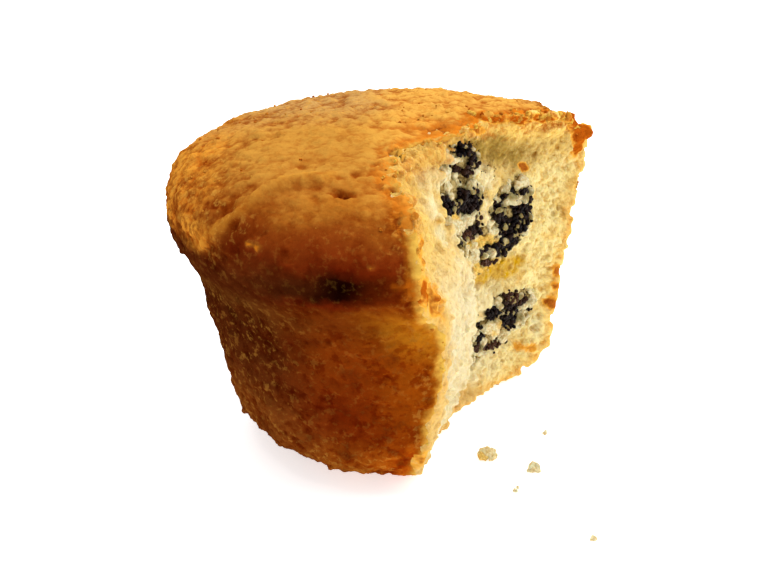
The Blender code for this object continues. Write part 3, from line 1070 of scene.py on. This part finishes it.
# Where the seeds lie bare; cream and yellow crumb covers the rest of the filling.
SEED_CLUSTERS = (
    (0.1, 44.7, 2.0, 1.1, 1.1), (1.8, 43.1, 1.8, 1.2, 1.15), (-0.1, 41.9, 2.2, 0.55, 1.0),
    (-2.0, 46.0, 0.6, 0.4, 0.9), (-2.7, 41.3, 0.7, 1.3, 0.7), (1.6, 37.4, 4.0, 2.0, 1.4),
    (-4.4, 38.0, 1.2, 1.5, 1.1), (-1.8, 37.0, 2.2, 0.9, 1.1), (3.5, 34.0, 1.4, 0.9, 0.7),
    (0.7, 31.9, 1.6, 0.9, 1.2), (3.4, 32.2, 1.6, 0.7, 1.1), (-3.0, 32.3, 0.8, 0.6, 0.9),
    (12.5, 34.8, 1.8, 0.8, 0.9), (14.6, 35.3, 1.4, 0.7, 0.9), (16.9, 34.4, 1.7, 1.0, 1.0),
    (17.8, 32.9, 1.8, 1.5, 1.2), (16.0, 30.6, 2.3, 2.1, 1.3), (13.9, 29.2, 3.0, 1.7, 1.2),
    (10.7, 32.6, 2.4, 1.5, 1.2), (14.1, 26.8, 2.4, 1.1, 1.1), (13.6, 35.5, 2.6, 0.6, 0.6),
    (11.1, 26.2, 2.6, 1.0, 1.2), (7.1, 27.7, 1.2, 0.8, 0.9), (7.0, 25.8, 2.8, 0.7, 0.9),
    (4.5, 28.0, 1.2, 1.0, 0.8), (9.6, 15.8, 1.9, 1.1, 1.2), (15.2, 13.2, 2.0, 1.8, 1.3),
    (15.0, 16.2, 3.6, 1.3, 1.05), (19.7, 12.9, 0.6, 0.4, 1.0), (7.4, 12.1, 1.0, 0.7, 1.1),
    (7.8, 10.3, 2.6, 0.7, 0.8), (7.2, 14.3, 0.6, 0.4, 0.9), (10.5, 9.2, 1.6, 0.5, 0.9),
    (13.4, 8.3, 1.6, 0.45, 0.9), (16.2, 7.7, 1.0, 0.4, 0.8),
)
# Lumps of crumb that lie on the clusters.
COVERING_LUMPS = (
    (0.8, 43.6, 0.9, 0.5, 0.9), (-1.9, 38.7, 1.4, 0.8, 1.2), (13.0, 32.0, 1.0, 0.9, 0.8),
    (12.3, 33.4, 0.9, 0.5, 0.8), (15.6, 34.2, 0.7, 0.6, 0.8), (18.9, 34.6, 1.1, 0.6, 0.8),
    (7.4, 26.7, 1.6, 0.5, 1.0), (15.2, 28.0, 0.8, 0.7, 0.7), (8.0, 10.6, 0.8, 0.4, 0.7),
    (13.0, 14.6, 1.6, 0.7, 0.9), (6.9, 35.2, 1.5, 3.0, 1.3), (7.7, 30.8, 1.5, 1.6, 1.0),
    (0.6, 40.3, 3.4, 0.75, 1.1), (8.6, 38.4, 1.6, 1.6, 0.8),
)
# Where fine bits of seed dust the crumb.
DUST = (
    (5.2, 41.8, 1.8, 2.4, 1.0), (7.8, 39.6, 2.0, 1.2, 0.8), (13.4, 36.6, 3.0, 0.8, 0.7),
    (16.0, 16.4, 3.0, 0.8, 0.6),
)
# Where hardly any crumb lies among the seeds.
BLACK_CORES = (
    (2.4, 37.2, 3.2, 1.7, 1.2), (-4.2, 37.6, 1.3, 1.5, 1.0), (16.8, 31.4, 1.6, 2.2, 0.8),
    (13.6, 27.6, 2.2, 1.1, 0.8), (9.6, 15.8, 1.8, 1.0, 0.8), (15.2, 13.0, 1.8, 1.4, 0.8),
)
# Where the seeds are brown.
BROWN_SEEDS = (
    (0.6, 32.0, 2.6, 1.0, 1.0), (3.5, 34.0, 1.6, 1.0, 0.8), (6.0, 26.0, 3.6, 1.3, 0.9),
    (7.8, 10.3, 2.6, 0.9, 1.0), (15.4, 16.6, 3.8, 1.2, 0.8), (-0.1, 42.2, 2.4, 1.0, 0.5),
    (12.6, 8.8, 4.4, 1.0, 1.0),
)


def bareness(points):
    """From 0 to 1, how bare of crumb the filling is, with an uneven border."""
    wobble = 1.0 + 0.40 * noise_at(points, 0.0013, 4.0) + 0.3 * noise_at(points, 0.0006, 8.0)
    bare = nearness(points, SEED_CLUSTERS) - 0.9 * nearness(points, COVERING_LUMPS)
    return ramp(bare * wobble, 0.28, 0.50)


def crumb_grains(crumb, wall, edge, look):
    """Grains of torn crumb over the wall, lumps by the filling and chunks along the far edge."""
    points = points_of(crumb)
    lumps = wall * np.clip(nearness(points, CREAM_LUMPS) - 0.2, 0.0, 1.0)
    far = edge * ramp(points[:, 1], -0.008, 0.006) * ramp(noise_at(points, 0.0026, 7.0), -0.1, 0.35)
    far *= 1.0 - ramp(points[:, 2], 0.0405, 0.0430)
    scatter = Scatter(23)
    scatter.grains(crumb, wall, look.grain_count, 5, (0.00022, 0.00064), (-0.4, 0.4))
    scatter.grains(crumb, lumps, look.lump_count, 7, (0.00040, 0.00105), (-0.1, 0.6))
    scatter.grains(crumb, far, look.chunk_count, 9, (0.00028, 0.00105), (-0.8, 0.15))
    return joined_grains("crumb_grains", scatter.spots, lumps=0.35, seed_step=3.1)


def uneven_core(look):
    """The solid drawn in under the crust with an uneven wall, its torn points, wall and edge."""
    crumb, depths, outward, torn = dense_body("bun_crumb", look.first_step)
    points = points_of(crumb)
    torn_points = points[torn]
    from_bite = nearest_distances(points, torn_points)
    goal = look.rim_inset + (look.inset - look.rim_inset) * ramp(from_bite, 0.0003, 0.0022)
    goal += look.core_inset * ramp(from_bite, 0.003, 0.012)
    points -= outward * np.maximum(goal - depths, 0.0)[:, None]
    points -= np.array(OUT_OF_BITE) * (look.recess * nearness(points, RECESS) * torn)[:, None]
    points += worn_corner(points, from_bite, bpy.context.scene.bun_crust.corner_wear)
    move_points(crumb, points)
    modify(crumb, "SMOOTH", factor=0.5, iterations=6)

    wall = 1.0 - ramp(from_bite, 0.0006, 0.0024)
    covered = (1.0 - ramp(depths, 0.0004, 0.0016)) * (1.0 - ramp(points[:, 1], -0.008, 0.004))
    free = wall * (1.0 - 0.9 * covered)
    weigh(crumb, "wall", free)
    roughen(crumb, 0.0042, 0.0016, group="wall", octaves=1)
    roughen(crumb, 0.0016, 0.0009, group="wall", octaves=1)
    weigh(crumb, "lip", wall * ramp(points[:, 2], 0.0410, 0.0440))
    roughen(crumb, 0.0022, 0.0009, 0.65, group="lip", hard=True, octaves=1)
    roughen(crumb, 0.0010, 0.0005, 0.6, group="lip", octaves=1)
    edge = (from_bite < 0.0005) & (depths < 0.0006)
    return crumb, torn_points, free, edge.astype(float)


def stain_crumb(crumb, points, depths):
    """Keep what the crumb's material reads: its depth, its relief and the stains on its wall."""
    wobble = 1.0 + 0.5 * noise_at(points, 0.0016, 9.0) + 0.3 * noise_at(points, 0.0005, 2.0)
    far = ramp(points[:, 0] + points[:, 1] * 0.4, 0.004, 0.024)
    keep(crumb, depth=depths * MM, far=far, relief=relief_of(crumb) / CRUMB_RELIEF)
    for name, stains in (("pale", CREAM_LUMPS), ("yolk", YOLK_STAINS), ("murk", GREY_AND_SHADE_STAINS),
                         ("toast", TOAST_STAINS), ("streak", STREAKS)):
        keep(crumb, **{name: ramp(nearness(points, stains) * wobble, 0.10, 0.85)})
    keep(crumb, seeded=bareness(points) * (depths > SEEDED_DEPTH))


def bake_crumb(look):
    """The torn inside: the solid drawn in under the crust, with grains fused to its wall."""
    crumb, torn_points, wall, edge = uneven_core(look)
    grains = crumb_grains(crumb, wall, edge, look)
    select_only(crumb)
    grains.select_set(True)
    bpy.ops.object.join()
    crumb.data.attributes.remove(crumb.data.attributes["tint"])
    modify(crumb, "REMESH", mode="VOXEL", voxel_size=look.step)
    modify(crumb, "SMOOTH", factor=0.5, iterations=1)

    crumb.vertex_groups.clear()
    wall = 1.0 - ramp(nearest_distances(points_of(crumb), torn_points), 0.0018, 0.0030)
    weigh(crumb, "wall", wall)
    roughen(crumb, 0.0008, 0.00034, group="wall", octaves=1)
    thin_out(crumb, wall < 0.5, look.triangles)

    points = points_of(crumb)
    depths, outward = SKIN.under(points)
    sunk = look.core_inset * ramp(nearest_distances(points, torn_points), 0.003, 0.012)
    points -= outward * np.maximum(sunk - depths, 0.0)[:, None]
    move_points(crumb, level_base(points))
    stain_crumb(crumb, points, np.maximum(depths, sunk))
    finish_piece(crumb, ["bun_body"], crumb_material(look))


class CrumbLook(PropertyGroup):
    """The torn crumb's sizes and colours."""

    inset: length_property("Inset", "How far the crumb lies under the crust's skin", 0.0009)
    rim_inset: length_property("Inset at the bite", "How far it lies in at the torn edge", 0.00012)
    core_inset: length_property("Core inset", "How much farther in it lies away from the bite", 0.0045)
    recess: length_property("Recess", "Depth of the hollow under the top crust", 0.0020)
    first_step: length_property("First mesh step", "Mesh size before the grains are fused", 0.0004)
    step: length_property("Mesh step", "Size of the torn wall's mesh faces", 0.00027)
    grain_count: count_property("Grains", "How many grains of crumb", 4600)
    lump_count: count_property("Lumps", "How many lumps by the filling", 300)
    chunk_count: count_property("Chunks", "How many chunks on the far edge", 430)
    triangles: count_property("Triangles", "How many triangles are kept", 190000)
    near_crumb: tone("Near crumb", "Pale cream crumb", 222, 208, 166)
    far_crumb: tone("Far crumb", "Yellower crumb", 231, 212, 146)
    warm: tone("Warm patches", "Golden patches", 228, 184, 92)
    toasted: tone("Toasted", "Crumb next to the crust", 212, 170, 88)
    toasted_far: tone("Toasted far crumb", "Crumb next to the crust on the far side", 240, 202, 108)
    skin_side: tone("Under the skin", "Crumb right under the skin", 234, 168, 62)
    browned: tone("Browned", "Scraps of browned crust on the crumb's top edge", 176, 86, 14)
    # Painted shade: tint of the crumb's hollows.
    hollow: tone("Hollows", "Tint of the hollows", 212, 170, 84)
    near_upper: tone("Upper near crumb", "Yellower crumb under the cap", 222, 186, 106)
    corner: tone("Far corner", "Ochre crumb under the top crust at the far corner", 198, 160, 80)
    # Painted highlight: palest tips of the grains.
    crumb_tip_highlight: tone("Crumb tips", "Palest tips of the grains", 244, 232, 196)
    seeded: colour_property("Seeded", "Crumb stained black under loose seeds", (0.010, 0.006, 0.005))
    pale: tone("Pale lumps", "Cream lumps by the filling", 228, 216, 170)
    yolk: tone("Butter stain", "Yellow stain under the filling", 194, 148, 17)
    # Grey from the seeds, and painted shade in the recess and between the fillings.
    murk: tone("Grey stain", "Crumb greyed by the seeds", 160, 130, 60)
    toast: tone("Brown spot", "Brown spots", 172, 96, 28)


class BUN_OT_crumb(Operator):
    """Make the torn crumb from the bun's solid"""

    bl_idname = "bun.crumb"
    bl_label = "Torn crumb"

    def execute(self, context):
        bake_crumb(context.scene.bun_crumb)
        return {"FINISHED"}


# ---------------------------------------------------------------------- filling

FILLINGS = ("poppy_filling_upper", "poppy_filling_lower")


def bake_paste(node, look):
    """The dark paste that binds the seeds, swollen to fill its pocket."""
    paste = copied_solid(node, node.replace("filling", "paste"))
    modify(paste, "REMESH", mode="VOXEL", voxel_size=look.step)
    modify(paste, "SMOOTH", factor=0.5, iterations=5)
    move_points(paste, points_of(paste) + normals_of(paste) * look.swell)
    roughen(paste, 0.0017, 0.0011, octaves=1)
    keep(paste, bare=bareness(points_of(paste)))
    finish_piece(paste, [node], paste_material(look))
    return paste


def seed_pattern():
    """One kidney-shaped poppy seed, a unit long, for copies only."""
    bpy.ops.object.select_all(action="DESELECT")
    bpy.ops.mesh.primitive_uv_sphere_add(segments=7, ring_count=5, radius=0.5)
    seed = bpy.context.object
    points = points_of(seed)[:, [2, 0, 1]]
    points *= (1.0, 0.80, 0.70)
    points[:, 1] -= 0.35 * points[:, 0] ** 2 - 0.04
    # The sphere's faces come in another order each time, so they are sorted.
    faces = sorted(tuple(face.vertices) for face in seed.data.polygons)
    seed.data.clear_geometry()
    seed.data.from_pydata(points.tolist(), [], faces)
    return seed


def facing_out(obj, least):
    """1 for each point that looks out of the bite, and 0 for the rest."""
    return (normals_of(obj) @ np.array(OUT_OF_BITE) > least).astype(float)


def bake_seeds(pastes, crumb, look):
    """Poppy seeds packed on the paste, and strays and fragments on the crumb round it."""
    scatter = Scatter(31)
    length = look.seed_length
    counts = zip(look.seed_counts, look.border_counts)
    for number, (paste, (packed_count, border_count)) in enumerate(zip(pastes, counts)):
        points = points_of(paste)
        bare = bareness(points)
        packed = bare * facing_out(paste, 0.1)
        border = (1.0 - bare) * nearness(points, SEED_CLUSTERS) ** 2
        scatter.seeds(paste, packed, packed_count, 40 + number, length, (0.8, 1.12), (0.0, 0.75))
        scatter.seeds(paste, border, border_count, 44 + number, length, (0.35, 0.95), (0.4, 1.3))
    points = points_of(crumb)
    outward = facing_out(crumb, 0.1)
    seeded = values_of(crumb, "seeded") * outward
    scatter.seeds(crumb, seeded, look.crumb_seed_count, 46, length, (0.8, 1.1), (0.0, 0.5))
    away = nearest_distances(points, scatter.places())
    strays = np.exp(-away / 0.0007) * (away < 0.0024)
    scatter.seeds(crumb, strays, look.stray_count, 47, length, (0.45, 0.95), (0.1, 0.3))
    dusty = nearness(points, DUST) ** 2 * outward
    scatter.seeds(crumb, dusty, look.fragment_count, 48, length, (0.12, 0.32), (0.1, 0.3))

    tints = [0.25 * scatter.draw.random() + share for share in nearness(scatter.places(), BROWN_SEEDS)]
    spots = [(*spot[:3], min(1.0, tint)) for spot, tint in zip(scatter.spots, tints)]
    seeds = joined_copies("poppy_seeds", [seed_pattern()], spots)
    finish_piece(seeds, FILLINGS, seed_material(look))


def bake_filling_bits(pastes, look):
    """Cream and yellow crumb that covers part of the filling and is caught among the seeds."""
    scatter = Scatter(53)
    counts = zip(look.cover_counts, look.bit_counts)
    for number, (paste, (cover_count, bit_count)) in enumerate(zip(pastes, counts)):
        points = points_of(paste)
        bare = bareness(points)
        cover = (1.0 - bare) * facing_out(paste, -0.2)
        among = bare * facing_out(paste, 0.0) * (0.25 + ramp(noise_at(points, 0.0016, 6.0), 0.0, 0.5))
        among *= np.clip(1.0 - nearness(points, BLACK_CORES), 0.0, 1.0)
        scatter.grains(paste, cover, cover_count, 60 + number, (0.00034, 0.00088), (-0.2, 0.6))
        scatter.grains(paste, among, bit_count, 70 + number, (0.00024, 0.00060), (0.6, 1.4))
    bits = joined_grains("filling_crumb_bits", scatter.spots, lumps=0.45, seed_step=5.3)
    bits.data.attributes.remove(bits.data.attributes["tint"])
    modify(bits, "REMESH", mode="VOXEL", voxel_size=look.bit_step)
    modify(bits, "SMOOTH", factor=0.5, iterations=1)
    roughen(bits, 0.00060, 0.00026, octaves=1)
    thin_out(bits, 1.0 - facing_out(bits, -0.3), look.bit_triangles)
    points = points_of(bits)
    golden = ramp(nearness(points, YOLK_STAINS) + 0.25 * noise_at(points, 0.0012, 3.0), 0.15, 0.75)
    keep(bits, tint=0.04 + 0.36 * golden)
    seedy = nearness(points, SEED_CLUSTERS) + 0.5 * noise_at(points, 0.0011, 2.0)
    keep(bits, smudge=0.9 * ramp(seedy, 0.10, 0.70))
    finish_piece(bits, [], bit_material(bpy.context.scene.bun_bits))


class FillingLook(PropertyGroup):
    """The poppy filling's sizes and colours."""

    step: length_property("Mesh step", "Size of the paste's mesh faces", 0.0003)
    swell: length_property("Swelling", "How far the paste fills its pocket's gap", 0.00025)
    bit_step: length_property("Crumb mesh step", "Mesh size of the crumb over the filling", 0.00018)
    bit_triangles: count_property("Triangles", "How many triangles that crumb keeps", 130000)
    seed_length: length_property("Seed", "How long a poppy seed is", 0.00082)
    seed_counts: pair_property("Seeds", "Seeds on the upper and the lower filling", (1000, 420))
    border_counts: pair_property("Border seeds", "Seeds at the borders of the clusters", (110, 220))
    cover_counts: pair_property("Cover", "Bits that cover the upper and the lower filling", (760, 340))
    bit_counts: pair_property("Crumb bits", "Bits among the upper and the lower seeds", (110, 40))
    crumb_seed_count: count_property("Seeds on the crumb", "Seeds of clusters that run on over it", 420)
    stray_count: count_property("Strays", "Seeds that lie on the crumb", 150)
    fragment_count: count_property("Fragments", "Bits of seed on the crumb", 200)
    paste: colour_property("Paste", "Blue-black paste", (0.0035, 0.0022, 0.0025))
    paste_brown: colour_property("Brown paste", "Browner paste", (0.022, 0.009, 0.004))
    smeared: tone("Smeared", "Crumb smeared with paste under the crumb bits", 190, 166, 108)
    # Painted shade: the smeared crumb's colour between its grains.
    smeared_with_shade: tone("Smeared hollows", "The same between grains", 120, 96, 48)
    seed: colour_property("Seed", "Blue-black seed", (0.0030, 0.0024, 0.0034))
    seed_pale: colour_property("Brown seed", "Browner seed", (0.060, 0.022, 0.010))


class BUN_OT_filling(Operator):
    """Make the paste, the poppy seeds and the bits of crumb among them"""

    bl_idname = "bun.filling"
    bl_label = "Poppy filling"

    def execute(self, context):
        look = context.scene.bun_filling
        pastes = [bake_paste(node, look) for node in FILLINGS]
        bake_seeds(pastes, bpy.data.objects["bun_crumb"], look)
        bake_filling_bits(pastes, look)
        return {"FINISHED"}


# ----------------------------------------------------------------------- crumbs

# Crumbs that fell beside the bun: place on the table, radius and shade from cream to crust.
FALLEN_CRUMBS = (
    ((0.0119, -0.0153), 0.00110, 0.16),
    ((0.0112, -0.0157), 0.00080, 0.36),
    ((0.0126, -0.0160), 0.00060, 0.20),
    ((0.0185, -0.0187), 0.00080, 0.02),
    ((0.0181, -0.0193), 0.00060, 0.06),
    ((0.0189, -0.0195), 0.00045, 0.00),
    ((0.0213, -0.0090), 0.00040, 0.00),
    ((0.0151, -0.0244), 0.00035, 0.00),
    ((0.0155, -0.0236), 0.00025, 0.00),
    ((0.0243, -0.0357), 0.00040, 0.12),
)
# Their half-sizes, and how high their middles lie, in shares of the radius.
FALLEN_SIZES = (1.15, 0.95, 0.8)
FALLEN_HEIGHT = 0.66


def finish_crumbs(crumbs, size, depth, look):
    """Roughen loose crumbs, keep them above the table and finish them."""
    roughen(crumbs, size, depth, octaves=1)
    move_points(crumbs, level_base(points_of(crumbs)))
    finish_piece(crumbs, [], bit_material(look))


def bake_flakes(crust, look):
    """Golden and red-brown crumbs of crust that cling along the torn edge and on the top."""
    points = points_of(crust)
    bite, broken, rough = (values_of(crust, name) for name in ("bite", "broken", "rough"))
    outer = 1.0 - values_of(crust, "inside")
    far = ramp(points[:, 1], -0.004, 0.006)
    edge = (bite < 0.9) * (0.12 + far)
    top = broken * outer * (0.05 + far)
    loose = outer * rough ** 2 * (broken < 0.3) * (points[:, 2] > 0.041)
    scatter = Scatter(71)
    scatter.grains(crust, edge, look.edge_count, 73, (0.00015, 0.00045), (-0.8, 0.2), (0.55, 0.85))
    scatter.grains(crust, top, look.top_count, 74, (0.00016, 0.00050), (-0.7, 0.0), (0.62, 1.0))
    scatter.grains(crust, loose, look.loose_count, 75, (0.00012, 0.00030), (-0.7, -0.2), (0.75, 1.0))
    flakes = joined_grains("crust_crumbs", scatter.spots, lumps=0.5, seed_step=4.7)
    finish_crumbs(flakes, 0.00045, 0.00030, look)


def bake_fallen_crumbs(look):
    """The few crumbs on the table beside the bun, each resting on it."""
    draw = random.Random(83)
    spots = []
    for (x, y), radius, tint in FALLEN_CRUMBS:
        turn = Matrix.Rotation(draw.uniform(0.0, 6.28), 3, "Z")
        sizes = [radius * share for share in FALLEN_SIZES]
        spots.append((Vector((x, y, radius * FALLEN_HEIGHT)), turn, sizes, tint))
    crumbs = joined_grains("fallen_crumbs", spots, lumps=0.45, seed_step=6.1, first_seed=2.0, detail=4)
    finish_crumbs(crumbs, 0.0005, 0.00035, look)


class BitsLook(PropertyGroup):
    """The sizes and colours of loose crumbs and flakes."""

    edge_count: count_property("Edge crumbs", "Crumbs along the torn edge", 340)
    top_count: count_property("Broken crust", "Crumbs on the broken crust", 260)
    loose_count: count_property("Specks", "Crumbs stuck on the crust", 160)
    cream: tone("Cream", "Cream crumbs", 222, 213, 172)
    golden: tone("Golden", "Golden crumbs", 224, 184, 78)
    brown: tone("Brown", "Browned crumbs", 180, 94, 20)
    shade: tone("Shade", "Tint of the hollows", 218, 180, 112)
    smudge: tone("Smudge", "Tint of crumbs that the seeds have dirtied", 160, 152, 118)


class BUN_OT_crumbs(Operator):
    """Make the crumbs of crust on the torn edge and the crumbs on the table"""

    bl_idname = "bun.crumbs"
    bl_label = "Crumbs and flakes"

    def execute(self, context):
        look = context.scene.bun_bits
        bake_flakes(bpy.data.objects["bun_crust"], look)
        bake_fallen_crumbs(look)
        return {"FINISHED"}


# ------------------------------------------------------------------------ stage

CAMERA_PLACE = Vector((0.0, -0.15346, 0.08843))
CAMERA_FORWARD = Vector((-0.01328, 0.91856, -0.39506))
CAMERA_UP = Vector((0.01926, 0.39526, 0.91837))
LENS = 50.0
SENSOR = 36.0
# The table lies this little below the base, so that their faces don't coincide.
TABLE_DROP = 0.00005


def area_light(name, place, target, size, power, colour):
    data = bpy.data.lights.new(name, "AREA")
    data.shape = "DISK"
    data.size = size
    data.energy = power
    data.color = colour
    light = bpy.data.objects.new(name, data)
    light.location = place
    light.rotation_euler = (Vector(target) - Vector(place)).to_track_quat("-Z", "Y").to_euler()
    link(light)


def set_stage(look):
    """A plain white table, soft studio light, and the camera at the photograph's angle."""
    bpy.ops.object.select_all(action="DESELECT")
    bpy.ops.mesh.primitive_plane_add(size=3.0, location=(0.0, 0.0, -TABLE_DROP))
    table = bpy.context.object
    table.name = "table"
    shader = Shader("studio_table", 0.9, Base_Color=(*look.table, 1.0), Specular_IOR_Level=0.0,
                    Emission_Color=(1.0, 1.0, 1.0, 1.0), Emission_Strength=look.table_glow)
    table.data.materials.append(shader.material)

    world = bpy.data.worlds.new("studio")
    bpy.context.scene.world = world
    world.use_nodes = True
    background = world.node_tree.nodes["Background"]
    background.inputs["Color"].default_value = (*look.sky, 1.0)
    background.inputs["Strength"].default_value = look.sky_strength
    area_light("overhead", (0.15, 0.25, 1.20), (0.0, 0.05, 0.0), 1.6, look.overhead_power, (1.0, 0.99, 0.97))
    area_light("side", (0.65, -0.10, 0.40), (0.0, 0.0, 0.02), 0.45, look.side_power, (1.0, 0.98, 0.95))

    data = bpy.data.cameras.new("camera")
    data.lens = LENS
    data.sensor_width = SENSOR
    data.sensor_fit = "HORIZONTAL"
    data.clip_start = 0.005
    camera = bpy.data.objects.new("camera", data)
    right = CAMERA_FORWARD.cross(CAMERA_UP).normalized()
    up = right.cross(CAMERA_FORWARD).normalized()
    axes = Matrix((right, up, -CAMERA_FORWARD.normalized())).transposed()
    camera.matrix_world = Matrix.Translation(CAMERA_PLACE) @ axes.to_4x4()
    link(camera)
    bpy.context.scene.camera = camera
    bpy.context.scene.view_settings.view_transform = "Standard"


class StageLook(PropertyGroup):
    """The table and the light."""

    table: colour_property("Table", "White table", (0.95, 0.95, 0.95))
    table_glow: strength_property("Table glow", "Light from under the white table", 0.62)
    sky: colour_property("Sky", "Light all round", (1.0, 1.0, 1.0))
    sky_strength: strength_property("Sky strength", "How bright the light all round is", 0.54)
    overhead_power: strength_property("Overhead", "Light from above", 20.0, "POWER")
    side_power: strength_property("Side", "Light from the right", 1.4, "POWER")


class BUN_OT_stage(Operator):
    """Make the table, the light and the camera"""

    bl_idname = "bun.stage"
    bl_label = "Table, light and camera"

    def execute(self, context):
        set_stage(context.scene.bun_stage)
        return {"FINISHED"}


# ----------------------------------------------------------------------- add-on

class VIEW3D_PT_bun(Panel):
    """Lists the bun's pieces"""

    bl_idname = "VIEW3D_PT_bun"
    bl_label = "Half-Eaten Bun"
    bl_space_type = "VIEW_3D"
    bl_region_type = "UI"
    bl_category = "Bun"

    def draw(self, context):
        for step in STEPS:
            self.layout.operator(step.bl_idname)
        for name in LOOKS:
            box = self.layout.box()
            look = getattr(context.scene, name)
            for prop in look.bl_rna.properties:
                if prop.identifier not in ("rna_type", "name"):
                    box.prop(look, prop.identifier)


LOOKS = {
    "bun_crust": CrustLook,
    "bun_crumb": CrumbLook,
    "bun_filling": FillingLook,
    "bun_bits": BitsLook,
    "bun_stage": StageLook,
}
STEPS = (BUN_OT_stage, BUN_OT_crust, BUN_OT_crumb, BUN_OT_filling, BUN_OT_crumbs)


def register():
    for cls in (*LOOKS.values(), *STEPS, VIEW3D_PT_bun):
        bpy.utils.register_class(cls)
    for name, cls in LOOKS.items():
        setattr(bpy.types.Scene, name, PointerProperty(type=cls))


def unregister():
    for name in LOOKS:
        delattr(bpy.types.Scene, name)
    for cls in (VIEW3D_PT_bun, *STEPS, *LOOKS.values()):
        bpy.utils.unregister_class(cls)


def main():
    register()
    bpy.ops.bun.stage()
    bpy.ops.bun.crust()
    bpy.ops.bun.crumb()
    bpy.ops.bun.filling()
    bpy.ops.bun.crumbs()


if __name__ == "__main__":
    main()
